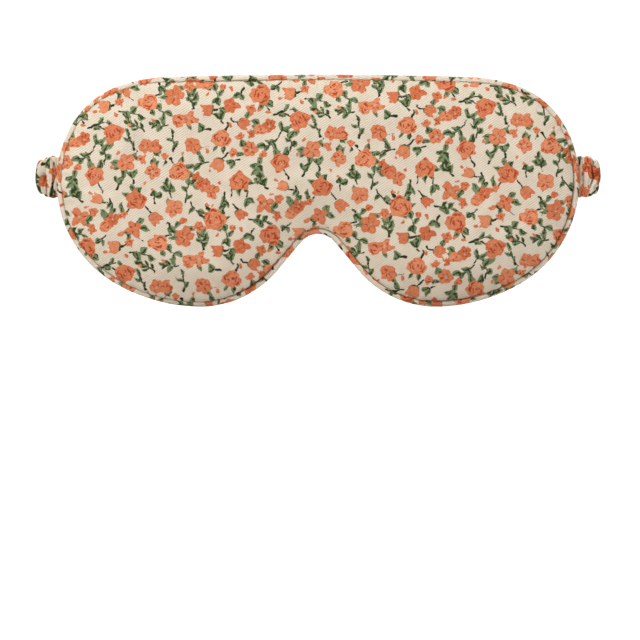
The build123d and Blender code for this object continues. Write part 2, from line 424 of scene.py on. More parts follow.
def new_mesh(name, verts, faces):
    """A smooth-shaded mesh object from millimetre points."""
    mesh = bpy.data.meshes.new(name)
    faces = faces if isinstance(faces, list) else faces.tolist()
    mesh.from_pydata((np.asarray(verts, float) * MM).tolist(), [], faces)
    mesh.update()
    mesh.polygons.foreach_set("use_smooth", [True] * len(mesh.polygons))
    return added(name, mesh)


def points_of(obj):
    """The mesh's vertices in millimetres."""
    co = np.empty(len(obj.data.vertices) * 3)
    obj.data.vertices.foreach_get("co", co)
    return co.reshape(-1, 3) / MM


def placed(obj):
    """The mesh's vertices, their insets and where along the outline they are."""
    co = points_of(obj)
    return co, *inset_of(co[:, 0], co[:, 2])


def put_points(obj, co):
    """Move the mesh's vertices to millimetre points."""
    obj.data.vertices.foreach_set("co", (np.asarray(co) * MM).ravel())
    obj.data.update()


def put(obj, name, values, kind="FLOAT"):
    """A value for each vertex that the materials read by name."""
    attribute = obj.data.attributes.new(name, kind, "POINT")
    key = "value" if kind == "FLOAT" else "vector"
    attribute.data.foreach_set(key, np.asarray(values, np.float32).ravel())


def put_cloth(obj, u, v, with_print=True):
    """The flat cloth's coordinates at each vertex, and the print there."""
    put(obj, "cloth", np.stack([u, v, np.zeros(len(u))], 1), "FLOAT_VECTOR")
    if with_print:
        for name, values in printed(u, v).items():
            put(obj, name, values)


def baked(obj):
    """Turn the object's modifiers into its mesh."""
    bpy.context.view_layer.update()
    graph = bpy.context.evaluated_depsgraph_get()
    solved = obj.evaluated_get(graph)
    mesh = bpy.data.meshes.new_from_object(solved, preserve_all_data_layers=True, depsgraph=graph)
    old = obj.data
    obj.modifiers.clear()
    obj.data = mesh
    bpy.data.meshes.remove(old)


def subdivided(obj, levels):
    """Smooth the mesh by subdivision and keep the result."""
    m = obj.modifiers.new("smooth", "SUBSURF")
    m.levels = m.render_levels = levels
    m.boundary_smooth = "PRESERVE_CORNERS"
    baked(obj)


def flat_patch(name, inset, spacing):
    """A triangulated sheet that fills the outline moved in by inset, in the plane Y = 0."""
    rings = [inset, inset + 0.55 * spacing, inset + 1.25 * spacing]
    count = int(AROUND / (0.8 * spacing))
    s = np.arange(count) * AROUND / count
    at, normal = edge_at(s)
    verts = [at - normal * d for d in rings]
    edges = [(i, (i + 1) % count) for i in range(count)]
    x = np.arange(-104, 104, spacing)
    z = np.arange(-53, 42, spacing * math.sqrt(3) / 2)
    gx, gz = np.meshgrid(x, z)
    gx = gx + (np.arange(len(z))[:, None] % 2) * spacing / 2
    gx, gz = gx.ravel(), gz.ravel()
    d, _ = inset_of(gx, gz)
    inside = d > rings[-1] + 0.6 * spacing
    verts.append(np.stack([gx[inside], gz[inside]], 1))
    flat = np.vstack(verts)
    points = [Vector(p) for p in flat]
    co, _, faces, _, _, _ = geometry.delaunay_2d_cdt(points, edges, [list(range(count))], 1, 1e-5)
    co = np.array([tuple(p) for p in co])
    points = np.stack([co[:, 0], np.zeros(len(co)), co[:, 1]], 1)
    return new_mesh(name, points, [list(f) for f in faces])


def inflate(obj, hold, pressure, frames, stretch):
    """Blow a held sheet up with Blender's cloth, so that it takes a sewn cushion's crown."""
    group = obj.vertex_groups.new(name="held")
    group.add([int(i) for i in np.nonzero(hold)[0]], 1.0, "REPLACE")
    m = obj.modifiers.new("cloth", "CLOTH")
    settings = dict(
        quality=6, mass=0.15, tension_stiffness=18, compression_stiffness=18, shear_stiffness=8,
        bending_stiffness=0.4, air_damping=4, use_pressure=True, uniform_pressure_force=pressure,
        vertex_group_mass="held", pin_stiffness=1, shrink_min=stretch,
    )
    for key, value in settings.items():
        setattr(m.settings, key, value)
    m.settings.effector_weights.gravity = 0
    m.collision_settings.use_self_collision = False
    scene = bpy.context.scene
    scene.frame_start, scene.frame_end = 1, frames
    m.point_cache.frame_start, m.point_cache.frame_end = 1, frames
    for f in range(1, frames + 1):
        scene.frame_set(f)
    baked(obj)
    scene.frame_set(1)


def dome_height(d, levels):
    """A crowned profile through (inset, height) pairs, smooth between them."""
    at, h = zip(*levels)
    at, h = np.array(at), np.array(h)
    slope = np.gradient(h, at)
    slope[-1] = 0.0
    k = np.clip(np.searchsorted(at, d) - 1, 0, len(at) - 2)
    w = at[k + 1] - at[k]
    t = np.clip((d - at[k]) / w, 0, 1)
    a = (1 + 2 * t) * (1 - t) ** 2 * h[k] + t * t * (3 - 2 * t) * h[k + 1]
    return a + w * (t * (1 - t) ** 2 * slope[k] + t * t * (t - 1) * slope[k + 1])


def crease(x, z, ax, az, bx, bz, width, height, sharp=0.5):
    """A soft ridge from one point to another that fades at both ends."""
    dx, dz = bx - ax, bz - az
    length = math.hypot(dx, dz)
    t = ((x - ax) * dx + (z - az) * dz) / length ** 2
    off = ((x - ax) * dz - (z - az) * dx) / length
    off = off + 1.2 * np.sin(t * 4.1 + ax)
    ends = step(t, -0.12, 0.22) * (1 - step(t, 0.7, 1.1))
    one_side = np.where(off > 0, width, width * sharp)
    return height * ends * hump(off, 0, one_side)


def creases(x, z, rows):
    """Several ridges together. A row holds what crease takes after x and z."""
    return sum(crease(x, z, *row) for row in rows)


# ---------------------------------------------------------------- front panel

# Where the front's cloth meets the seam, the edge length of the sheets' triangles, and the front's profile as
# (inset, height) pairs.
PANEL_INSET, SPACING = 2.75, 4.6
FRONT_CROWN = ((PANEL_INSET, 0.4), (3.6, 1.5), (6.5, 3.5), (11.0, 5.3), (18.0, 6.45), (28.0, 6.9), (45.0, 7.0))
FRONT_CREASES = (
    (-12, -12, -44, 0, 5, 0.5), (12, -10, 32, 16, 6, 0.45), (-70, 22, -88, 2, 4, 0.35),
    (70, -30, 90, -12, 4, 0.35), (0, -14, -4, 24, 5, -0.35), (-84, -8, -100, -2, 3, -0.4),
    (84, 6, 100, 0, 3, -0.4),
)


def make_front():
    """The printed front: a cushion's crown blown up by cloth simulation, puckered along the seam."""
    obj = flat_patch("front_panel_cotton", PANEL_INSET, SPACING)
    co, d, _ = placed(obj)
    base = dome_height(d, FRONT_CROWN)
    co[:, 1] = -base
    put_points(obj, co)
    inflate(obj, d < 3.2, 1.2, 14, -0.012)
    sim = points_of(obj)
    rise = np.clip(-sim[:, 1] - base, -0.25, 0.75) * step(d, 3.2, 12.0)
    slide = np.clip(sim[:, [0, 2]] - co[:, [0, 2]], -0.3, 0.3) * step(d, 3.2, 8.0)[:, None]
    co[:, 1] -= rise
    co[:, [0, 2]] += slide
    put_points(obj, co)
    subdivided(obj, 3)
    co, d, s = placed(obj)
    x, z = co[:, 0], co[:, 2]
    # Puckers where the seam gathers the cloth, and the soft unevenness of the wadding under it.
    pucker = puckers(s, d, 3, 5.2)
    near = hump(d, 4.6, 2.6) * step(d, PANEL_INSET, 3.6)
    lumps = 0.22 * wander(x, z, 15.0, 13.0, 5) + 0.10 * wander(x, z, 7.0, 6.0, 6)
    folds = creases(x, z, FRONT_CREASES)
    co[:, 1] -= 0.17 * pucker * near + (lumps + folds) * step(d, 5.0, 14.0)
    # The padding pushes the cloth out over the piping.
    over = (1.85 + 0.6 * wander(s, d, 33.0, 60.0, 7, AROUND) + 0.12 * pucker) * step(d, PANEL_INSET, 4.0)
    over = over * hump(d, 4.6, 2.4)
    co[:, [0, 2]] += over[:, None] * edge_at(s)[1]
    put_points(obj, co)
    put_cloth(obj, x, z)
    # Painted shade along the seam's groove, where the padded front tucks against the piping.
    put(obj, "painted_seam_shade", 1 - step(d, 3.5, 4.7))
    face_out(obj, -1)
    inner = flat_patch("front_inner_face", PANEL_INSET, SPACING)
    subdivided(inner, 1)
    co, d, _ = placed(inner)
    co[:, 1] = -(dome_height(d, FRONT_CROWN) - 0.3 - 0.5 * step(d, 3.0, 9.0))
    put_points(inner, co)
    put_cloth(inner, co[:, 0], co[:, 2])
    # The hidden inner face gets no painted seam shade.
    put(inner, "painted_seam_shade", np.zeros(len(co)))
    face_out(inner, 1)
    return joined_at_rim(obj, inner)


def rim_of(bm):
    """The open edge's vertices, in order along the outline."""
    rim = [v for v in bm.verts if v.is_boundary]
    at = inset_of([v.co.x / MM for v in rim], [v.co.z / MM for v in rim])[1]
    order = np.argsort(at, kind="stable")
    return [rim[i] for i in order], at[order]


def joined_at_rim(outer, inner):
    """One closed shell from two sheets with the same outline, the second with fewer vertices."""
    bm = bmesh.new()
    bm.from_mesh(outer.data)
    a, at_a = rim_of(bm)
    other = bmesh.new()
    other.from_mesh(inner.data)
    rim, at_b = rim_of(other)
    b_index = [v.index for v in rim]
    other.free()
    count = len(bm.verts)
    bm.from_mesh(inner.data)
    bm.verts.ensure_lookup_table()
    b = [bm.verts[count + i] for i in b_index]
    i = j = 0
    while i < len(a) or j < len(b):
        next_a = at_a[i + 1] if i + 1 < len(a) else AROUND + at_a[0]
        next_b = at_b[j + 1] if j + 1 < len(b) else AROUND + at_b[0]
        if j >= len(b) or (i < len(a) and next_a <= next_b):
            bm.faces.new((a[i % len(a)], a[(i + 1) % len(a)], b[j % len(b)]))
            i += 1
        else:
            bm.faces.new((a[i % len(a)], b[(j + 1) % len(b)], b[j]))
            j += 1
    bmesh.ops.recalc_face_normals(bm, faces=bm.faces)
    for face in bm.faces:
        face.smooth = True
    bm.to_mesh(outer.data)
    bm.free()
    bpy.data.objects.remove(inner)
    return outer


def face_out(obj, side):
    """Make the sheet's faces look to -Y or +Y."""
    mesh = obj.data
    total = np.empty(len(mesh.polygons) * 3)
    mesh.polygons.foreach_get("normal", total)
    if total.reshape(-1, 3)[:, 1].sum() * side < 0:
        mesh.flip_normals()


def given_thickness(obj, thickness):
    """A second face behind the sheet, so that the cloth is solid."""
    m = obj.modifiers.new("solid", "SOLIDIFY")
    m.thickness = thickness * MM
    m.offset = -1
    m.use_even_offset = False
    baked(obj)


# ---------------------------------------------------------------- tubes and bands


def grid_faces(rows, columns, close_rows=False, close_columns=True):
    """Quads of a rows by columns grid of points."""
    i = np.arange(rows if close_rows else rows - 1)[:, None]
    j = np.arange(columns if close_columns else columns - 1)[None, :]
    a = i * columns + j
    b = i * columns + (j + 1) % columns
    c = ((i + 1) % rows) * columns + (j + 1) % columns
    e = ((i + 1) % rows) * columns + j
    return np.stack([a, b, c, e], -1).reshape(-1, 4)


def make_piping():
    """The corded edge: a strip of the print, cut on the bias, wrapped round its cord."""
    rows, columns = 1240, 20
    s = np.arange(rows) * AROUND / rows
    at, normal = edge_at(s)
    th = np.arange(columns) * 2 * math.pi / columns
    ss, tt = np.repeat(s, columns), np.tile(th, rows)
    wrap = ss + 2.0 * np.sin(tt - 0.6) * 0.7
    ruck = 0.055 * np.sin(2 * math.pi * (wrap + 1.3 * wander(ss, tt, 11.0, 9.0, 11, AROUND)) / 3.4)
    ruck = ruck * (0.55 + 0.45 * wander(ss, tt, 14.0, 9.0, 12, AROUND)) + 0.05 * wander(ss, tt, 7.0, 2.0, 13, AROUND)
    r = PIPING + ruck - 0.03
    c, n = np.repeat(at, columns, 0), np.repeat(normal, columns, 0)
    out = r * np.cos(tt)
    x = c[:, 0] - n[:, 0] * PIPING + n[:, 0] * out
    z = c[:, 1] - n[:, 1] * PIPING + n[:, 1] * out
    obj = new_mesh("piping_cotton", np.stack([x, r * np.sin(tt), z], 1), grid_faces(rows, columns, True))
    # Cut at 45 degrees to the grain.
    bias, u, v = 0.7071, ss, PIPING * (tt - math.pi)
    put_cloth(obj, (u + v) * bias + 31.0, (u - v) * bias)
    # Painted shade on the piping's front side, where it turns in under the front panel.
    put(obj, "painted_seam_shade", step(-np.cos(tt), 0.1, 0.55) * step(-np.sin(tt), -0.3, 0.1))
    return obj


# The strap leaves the seam, runs out over the piping, turns back and crosses behind the mask.
TURN_R, TAIL_Y, END_X = 3.45, 3.2, 114.0
BACK_Y = TAIL_Y + 2 * TURN_R
TURN_X = END_X - TURN_R - 1.5


def strap_path(step_mm, start=-1.0):
    """The strap's middle line on the +X side: from the seam out over the piping, round, and in to X = 0.
    Gives lengths along it from start on, with the points and directions there."""
    t = np.linspace(0, 1, 40)[:-1]
    x0, y0 = 100.6, 0.65
    x = x0 + (104.9 - x0) * t
    y = y0 + (TAIL_Y - y0) * (t * t * (3 - 2 * t))
    a = np.linspace(0, math.pi, 60)
    px = np.concatenate([x, np.linspace(104.9, TURN_X, 20)[:-1], TURN_X + TURN_R * np.sin(a), [0.0]])
    py = np.concatenate([y, np.full(19, TAIL_Y), TAIL_Y + TURN_R * (1 - np.cos(a)), [BACK_Y]])
    length = np.concatenate([[0], np.cumsum(np.hypot(np.diff(px), np.diff(py)))])
    s = np.linspace(0, length[-1], int(length[-1] / step_mm))
    x, y = np.interp(s, length, px), np.interp(s, length, py)
    k = np.ones(9) / 9
    for _ in range(2):
        xs, ys = np.convolve(x, k, "same"), np.convolve(y, k, "same")
        x[6:-6], y[6:-6] = xs[6:-6], ys[6:-6]
    keep = s > start
    s, x, y = s[keep], x[keep], y[keep]
    tx, ty = np.gradient(x, s), np.gradient(y, s)
    size = np.hypot(tx, ty)
    return s, x, y, tx / size, ty / size


def across(columns, height, thick):
    """A flat oval section: heights, distances from the middle, and the length round it."""
    a = np.arange(columns) * 2 * math.pi / columns
    power = lambda w, p: np.sign(w) * np.abs(w) ** p
    z = height / 2 * power(np.sin(a), 0.62)
    y = thick / 2 * power(np.cos(a), 0.5)
    ring = np.concatenate([[0], np.cumsum(np.hypot(np.diff(z, append=z[:1]), np.diff(y, append=y[:1])))])
    fine = np.linspace(0, ring[-1], columns + 1)[:-1]
    z2, y2 = np.interp(fine, ring, np.append(z, z[0])), np.interp(fine, ring, np.append(y, y[0]))
    return z2, y2, fine


# Millimetres of flat cloth in one millimetre of gathered strap, where the strap lies on the print, the cover's
# section, and the distance from fold to fold.
GATHER, STRAP_U, STRAP_V = 1.55, 140.0, 8.0
COVER_H, COVER_T = 15.3, 2.4
WIDE_PITCH, FINE_PITCH = 3.6, 1.85


def gathers(at, pitch, strength):
    """Rounded folds with narrow creases between: heights, and a painted shade of 1 in a crease and a painted
    highlight of -1 on a crest.
    """
    turns = at / pitch - np.round(at / pitch)
    p = 2 * np.abs(turns)
    strength = np.clip(strength, 0.05, 1)
    # Where the painted highlight falls on each fold's crest.
    crest = hump(turns, 0.30, 0.09)
    shade = 0.42 * step(p, 0.3, 0.95) + 0.58 * step(p, 0.76, 1.0) - crest
    return strength * (0.4 - 1.4 * p ** 3.2), strength * shade


def fold_back(x):
    """From 0 on the straight runs to 1 at the outer end of the loop."""
    return step(x, END_X - 6.0, END_X - 1.2)


# The part of its width by which the strap draws in where it folds back.
DRAWN_IN = 0.16


def make_strap(side, word):
    """Half of the ruched cover. The gathers run across it and fan out at its edges."""
    s, px, py, tx, ty = strap_path(0.34)
    columns = 76
    z, y, ring = across(columns, COVER_H, COVER_T)
    rows = len(s)
    per_row = lambda a: np.repeat(a, columns)
    # Distance from the middle of the whole strap, signed, so that both halves share one set of folds.
    g = per_row((s[-1] - s) * side)
    zz, yy = np.tile(z / COVER_H, rows), np.tile(y / COVER_T, rows)
    outer = np.sign(yy)
    drift = 1.9 * wander(g, zz, 6.5, 0.75, 21) + 1.8 * wander(g, zz, 19.0, 1.6, 22)
    drift = drift + 0.75 * wander(g, zz, 4.2, 0.27, 29) + outer * (1.3 * wander(g, zz, 7.0, 0.9, 23) + 0.9)
    # Each set of gathers gives heights, plus painted shade for its creases and a painted highlight for its crests.
    wide, wide_painted_shade = gathers(g + drift, WIDE_PITCH, 0.62 + 0.7 * wander(g, zz, 4.5, 0.36, 25))
    finer = g + 0.7 * drift + 1.3 * wander(g, zz, 4.0, 0.4, 24)
    fine, fine_painted_shade = gathers(finer, FINE_PITCH, 0.42 + 0.75 * wander(g, zz, 3.2, 0.25, 28))
    folds = wide + 0.5 * fine
    # Painted shade of both sets of creases, and below 0 a painted highlight on the crests.
    dark = np.clip(wide_painted_shade + 0.6 * fine_painted_shade, -1, 1)
    # The sewn end is flat and narrow; it opens to the full width over the piping.
    tail = per_row(step(s, 0.5, 6.5))
    height = 14.0 + 1.9 * tail
    thick = 0.5 + 2.0 * tail
    flat = np.abs(yy) * 2
    height = height + tail * (1.7 * folds + 0.9 * wander(g, zz, 1.7, 9.0, 26))
    # Where the strap folds back, its edges draw in.
    turn = per_row(fold_back(px))
    h = np.clip(zz * height, -9.0, 9.0) * (1 - DRAWN_IN * turn)
    o = np.abs(yy * thick) + 1.05 * folds * tail * np.minimum(flat, 1)
    over_band = 0.56 * np.minimum(1.6 * flat, 1) * tail
    o = outer * np.clip(o, over_band, 2.2)
    shear = 0.6 * wander(g, zz, 5.0, 1.2, 27) * tail
    x = per_row(px) + per_row(-ty) * o - 1.1 * turn * (2 * np.abs(zz)) ** 2.5 + per_row(tx) * shear
    y = per_row(py) + per_row(tx) * o + per_row(ty) * shear
    # The two halves meet at X = 0.
    x = np.where(per_row(s) > s[-1] - 1.0, np.minimum(x, per_row(px)), x)
    x[(rows - 1) * columns:] = 0.0
    obj = new_mesh(f"strap_cotton_{word}", np.stack([side * x, y, h], 1), grid_faces(rows, columns))
    put_cloth(obj, g * GATHER + STRAP_U, np.tile(ring, rows) + STRAP_V)
    # Painted shade in the creases and a painted highlight on the crests, read by the strap's material.
    put(obj, "painted_fold_shade_and_highlight", dark * tail)
    cap_ends(obj, rows, columns, first_only=True)
    return obj


def cap_ends(obj, rows, columns, first_only=False):
    """Close the open ends of a tube."""
    bm = bmesh.new()
    bm.from_mesh(obj.data)
    bm.verts.ensure_lookup_table()
    bm.faces.new([bm.verts[i] for i in range(columns)])
    if not first_only:
        bm.faces.new([bm.verts[(rows - 1) * columns + i] for i in reversed(range(columns))])
    bmesh.ops.recalc_face_normals(bm, faces=bm.faces)
    bm.to_mesh(obj.data)
    bm.free()


def make_elastic(side, word):
    """The flat elastic inside the cover."""
    s, px, py, tx, ty = strap_path(0.8, start=4.0)
    rows, columns = len(s), 24
    z, y, _ = across(columns, 12.0, 0.9)
    per_row = lambda a: np.repeat(a, columns)
    z, y = np.tile(z, rows), np.tile(y, rows)
    points = [side * (per_row(px) - per_row(ty) * y), per_row(py) + per_row(tx) * y]
    points.append(z * (1 - DRAWN_IN * per_row(fold_back(px))))
    obj = new_mesh(f"strap_elastic_{word}", np.stack(points, 1), grid_faces(rows, columns))
    put_cloth(obj, per_row(s), z, with_print=False)
    cap_ends(obj, rows, columns)
    return obj


# ---------------------------------------------------------------- lined back


# The lining's edge at the seam, its profile, the height of the insert under it, the flap's free edge with its
# stitches, and the wide piece's hidden hem.
LINING_INSET, LINING_CLOTH = 2.7, 0.35
BACK_CROWN = ((LINING_INSET, 0.45), (4.0, 1.25), (6.5, 2.1), (11.0, 2.9), (18.0, 3.5), (30.0, 3.9), (46.0, 4.0))
INSERT_TOP = 2.3
FLAP_X, STITCH_IN = -38.0, 8.1
BACK_X, BACK_HEM_X = -58.0, -52.0
LINING_CREASES = (
    (7, -12, 1, -23, 3, -1.1, 1), (-3.5, -8, -8, -27, 3.2, 1.9, 0.7), (-9, -14, -36, -38, 3.6, -1.5, 0.8),
    (-11, -26, -41, -46, 4.6, 2.5, 0.6), (-13, -11, -40, -29, 5, 2.2, 0.42), (10, -21, 42, -40, 5, 1, 0.5),
    (4.4, -4, 11, 30, 2.4, -1.2, 0.8), (9, -4, 15, 33, 3.4, 1.3, 0.7), (0, -6, 4, 33, 3.2, 1.2, 0.6),
    (-5, -8, -6, 32, 3.2, -0.9, 0.8), (-11, -6, -15, 35, 3.6, 1.2, 0.5), (-24, -6, -22, 35, 4, -1, 0.7),
    (-32, -6, -30, 35, 3.2, 0.7, 0.6), (24, -4, 30, 30, 5, 0.5, 0.5), (52, -30, 84, -22, 5, 0.4),
    (60, 30, 92, 8, 6, 0.4),
)
FLAP_CREASES = (
    (-48, 34, -50, -6, 2.2, 0.35, 0.6), (-47, -8, -52, -44, 2.6, 0.45, 0.5), (-60, -40, -92, -22, 6, 0.4),
    (-62, 30, -88, 16, 6, 0.35),
)


def flap_edge(z):
    """The flap's free edge bows a little."""
    bow = np.polyval(np.polyfit((-50, -30, -15, 0, 20, 38), (-38.6, -39.8, -39.9, -38.6, -36.2, -33.8), 3), z)
    return bow + 0.18 * np.sin(z / 4.3)


def lining_height(x, z, d):
    """Height of the back lining over the seam plane, with its creases."""
    h = dome_height(d, BACK_CROWN)
    soft = 0.28 * wander(x, z, 21.0, 17.0, 31) + 0.10 * wander(x, z, 9.0, 8.0, 32)
    folds = creases(x, z, LINING_CREASES)
    h = h + (soft + folds) * step(d, 4.0, 12.0)
    # A valley flattens out where it meets the insert.
    low = np.minimum(INSERT_TOP, dome_height(d, BACK_CROWN) - 0.1)
    return low + np.log1p(np.exp(np.clip((h - low) * 4.0, -30, 30))) / 4.0


def seam_pucker(d, s, seed):
    """Small puckers where the lining is gathered into the seam."""
    return 0.13 * puckers(s, d, seed, 5.6) * hump(d, 4.6, 2.4) * step(d, LINING_INSET, 3.5)


def trimmed(obj, place, normal, above):
    """Cut a flat sheet along a plane and keep the side that its normal points to, or the other."""
    bm = bmesh.new()
    bm.from_mesh(obj.data)
    everything = bm.verts[:] + bm.edges[:] + bm.faces[:]
    at = tuple(c * MM for c in place)
    bmesh.ops.bisect_plane(
        bm, geom=everything, plane_co=at, plane_no=normal, clear_inner=above, clear_outer=not above
    )
    bm.to_mesh(obj.data)
    bm.free()


def make_back_panel():
    """The wide piece of the lining. It ends in a hem under the flap."""
    obj = flat_patch("back_panel_lining", LINING_INSET, SPACING)
    subdivided(obj, 2)
    trimmed(obj, (BACK_X, 0, 0), (1, 0, 0), True)
    co, d, s = placed(obj)
    h = lining_height(co[:, 0], co[:, 2], d) + seam_pucker(d, s, 41)
    under = 1 - step(co[:, 0], -40.0, -34.0)
    flat = np.minimum(dome_height(d, BACK_CROWN), 2.75) - 0.30 * step(d, 3.0, 9.0)
    co[:, 1] = h * (1 - under) + flat * under
    put_points(obj, co)
    put_cloth(obj, co[:, 0], co[:, 2], with_print=False)
    face_out(obj, 1)
    given_thickness(obj, LINING_CLOTH)
    return obj


def make_flap(upper):
    """Half of the flap, above or below the strap's middle, with its folded hem."""
    obj = flat_patch("flap_lining_upper" if upper else "flap_lining_lower", LINING_INSET, SPACING)
    trimmed(obj, (FLAP_X + 3.0, 0, 0), (1, 0, 0), False)
    subdivided(obj, 3)
    trimmed(obj, (0, 0, -2), (0, 0, 1), upper)
    co = points_of(obj)
    x, z = co[:, 0], co[:, 2]
    # Draw the sheet in towards the bowed free edge.
    pull = step(x, -62.0, FLAP_X + 3.0)
    x = x + pull * (flap_edge(z) - (FLAP_X + 3.0))
    d, s = inset_of(x, z)
    h = lining_height(x, z, d) + seam_pucker(d, s, 51)
    edge = flap_edge(z)
    from_edge = edge - x
    over = 0.75 * step(d, 3.2, 8.0)
    hem = 0.45 * (1 - step(from_edge, 7.9, 9.0)) * step(d, 3.0, 6.0)
    dimple = -0.24 * hump(from_edge, STITCH_IN, 0.55) - 0.25 * hump(from_edge, 0, 0.6)
    waves = 0.32 * np.sin(z / 5.1 + 1.5 * np.sin(z / 13.0)) * hump(from_edge, 0, 7.0) * step(d, 6.0, 14.0)
    lift = 0.9 * hump(z, -34, 12) * (1 - step(from_edge, 0.0, 12.0))
    folds = creases(x, z, FLAP_CREASES)
    h = h + over + hem + dimple + waves + (folds + lift) * step(d, 4.0, 10.0)
    put_points(obj, np.stack([x, h, z], 1))
    put_cloth(obj, x, z, with_print=False)
    face_out(obj, 1)
    given_thickness(obj, LINING_CLOTH)
    return obj


def surface_of(obj):
    """A lookup of the sheet's outer height over X and Z."""
    co = points_of(obj)
    near = lookup(co[:, [0, 2]])

    def height(x, z):
        found = near.find_n((x, 0.0, z), 4)
        return max(co[i][1] for _, i, _ in found)

    return height


def make_stitches(name, line, low, high, sheet):
    """Separate stitches along a line on the lining, each a small bar that dips into the cloth at its ends."""
    pitch, length, radius = 2.7, 2.0, 0.24
    height = surface_of(sheet)
    verts, faces, cloth = [], [], []
    z = low
    rings, round_it = 7, 8
    while z + length < high:
        t = np.linspace(0, 1, rings)
        zc = z + length * t
        xc = line(zc)
        top = [height(a, b) for a, b in zip(xc, zc)]
        lift = np.array(top) + radius * (0.6 - 1.5 * (2 * t - 1) ** 4)
        xc = xc + 0.25 * (t - 0.5)
        base = len(verts)
        for k in range(rings):
            r = radius * (1 - 0.75 * abs(2 * t[k] - 1) ** 5)
            for a in np.arange(round_it) * 2 * math.pi / round_it:
                verts.append((xc[k] + r * math.cos(a), lift[k] + r * math.sin(a), zc[k]))
                cloth.append((zc[k], a * 0.3))
        faces += (base + grid_faces(rings, round_it)).tolist()
        faces.append([base + j for j in reversed(range(round_it))])
        faces.append([base + (rings - 1) * round_it + j for j in range(round_it)])
        z += pitch
    obj = new_mesh(name, verts, faces)
    cloth = np.array(cloth)
    put_cloth(obj, cloth[:, 0], cloth[:, 1], with_print=False)
    return obj


# ---------------------------------------------------------------- materials


class Nodes:
    """A short way to write a node tree. A value given for an input is set there, an output is connected."""

    def __init__(self, name, kind="materials"):
        self.owner = getattr(bpy.data, kind).new(name)
        self.owner.use_nodes = True
        self.tree = self.owner.node_tree
        self.shader = self.tree.nodes.get("Principled BSDF")

    def fill(self, node, inputs):
        for key, value in inputs.items():
            socket = node.inputs[key]
            if isinstance(value, bpy.types.NodeSocket):
                self.tree.links.new(value, socket)
            elif isinstance(value, tuple) and len(value) == 3 and socket.type == "RGBA":
                socket.default_value = (*value, 1.0)
            else:
                socket.default_value = value

    def node(self, kind, inputs=None, out=0, **settings):
        """Add a node; gives one of its outputs."""
        n = self.tree.nodes.new("ShaderNode" + kind)
        for key, value in settings.items():
            setattr(n, key, value)
        self.fill(n, inputs or {})
        return n.outputs[out]

    def read(self, name, vector=False):
        return self.node("Attribute", out="Vector" if vector else "Fac", attribute_name=name)

    def math(self, op, a, b=0.0):
        return self.node("Math", {0: a, 1: b}, operation=op)

    def add(self, a, b):
        return self.math("ADD", a, b)

    def mul(self, a, b):
        return self.math("MULTIPLY", a, b)

    def scaled(self, vector, by):
        return self.node("VectorMath", {0: vector, 1: by}, operation="MULTIPLY")

    def waves(self, vector, direction, period):
        along = self.node("VectorMath", {0: vector, 1: direction}, "Value", operation="DOT_PRODUCT")
        return self.math("SINE", self.mul(along, 2 * math.pi / period))

    def noise(self, vector, scale, detail=2.0, rough=0.5, out="Fac"):
        inputs = {"Vector": vector, "Scale": scale, "Detail": detail, "Roughness": rough}
        return self.node("TexNoise", inputs, out)

    def mix(self, factor, a, b):
        return self.node("Mix", {0: factor, 6: a, 7: b}, 2, data_type="RGBA")

    def ramp(self, value, low, high, a=0.0, b=1.0):
        inputs = {"Value": value, "From Min": low, "From Max": high, "To Min": a, "To Max": b}
        return self.node("MapRange", inputs, "Result", clamp=True)

    def bump(self, height, distance, strength):
        return self.node("Bump", {"Distance": distance, "Strength": strength, "Height": height}, "Normal")

    def cotton(self, colour, normal, rough=0.88, sheen=0.12, shine=0.18):
        inputs = {"Base Color": colour, "Normal": normal, "Roughness": rough, "Specular IOR Level": shine}
        self.fill(self.shader, {**inputs, "Sheen Weight": sheen, "Sheen Roughness": 0.6})
        return self.owner


def srgb(r, g, b):
    """A colour as it looks on screen, 0 to 255, as the linear value that shaders use."""
    return tuple((c / 255 / 12.92) if c / 255 <= 0.04045 else ((c / 255 + 0.055) / 1.055) ** 2.4 for c in (r, g, b))


def weave(m, cloth, period, twill):
    """Threads of the cloth: a plain weave, or a twill's diagonal ribs. Gives height and a light and dark stripe."""
    wobble = m.scaled(m.noise(cloth, 0.9, 2, out="Color"), (0.12, 0.12, 0.0))
    at = m.node("VectorMath", {0: cloth, 1: wobble}, operation="ADD")
    plain = m.mul(m.waves(at, (1, 0, 0), period), m.waves(at, (0, 1, 0), period))
    if not twill:
        return plain
    return m.add(m.mul(m.waves(at, (-0.55, 0.835, 0), 0.82), 0.8), m.mul(plain, 0.2))


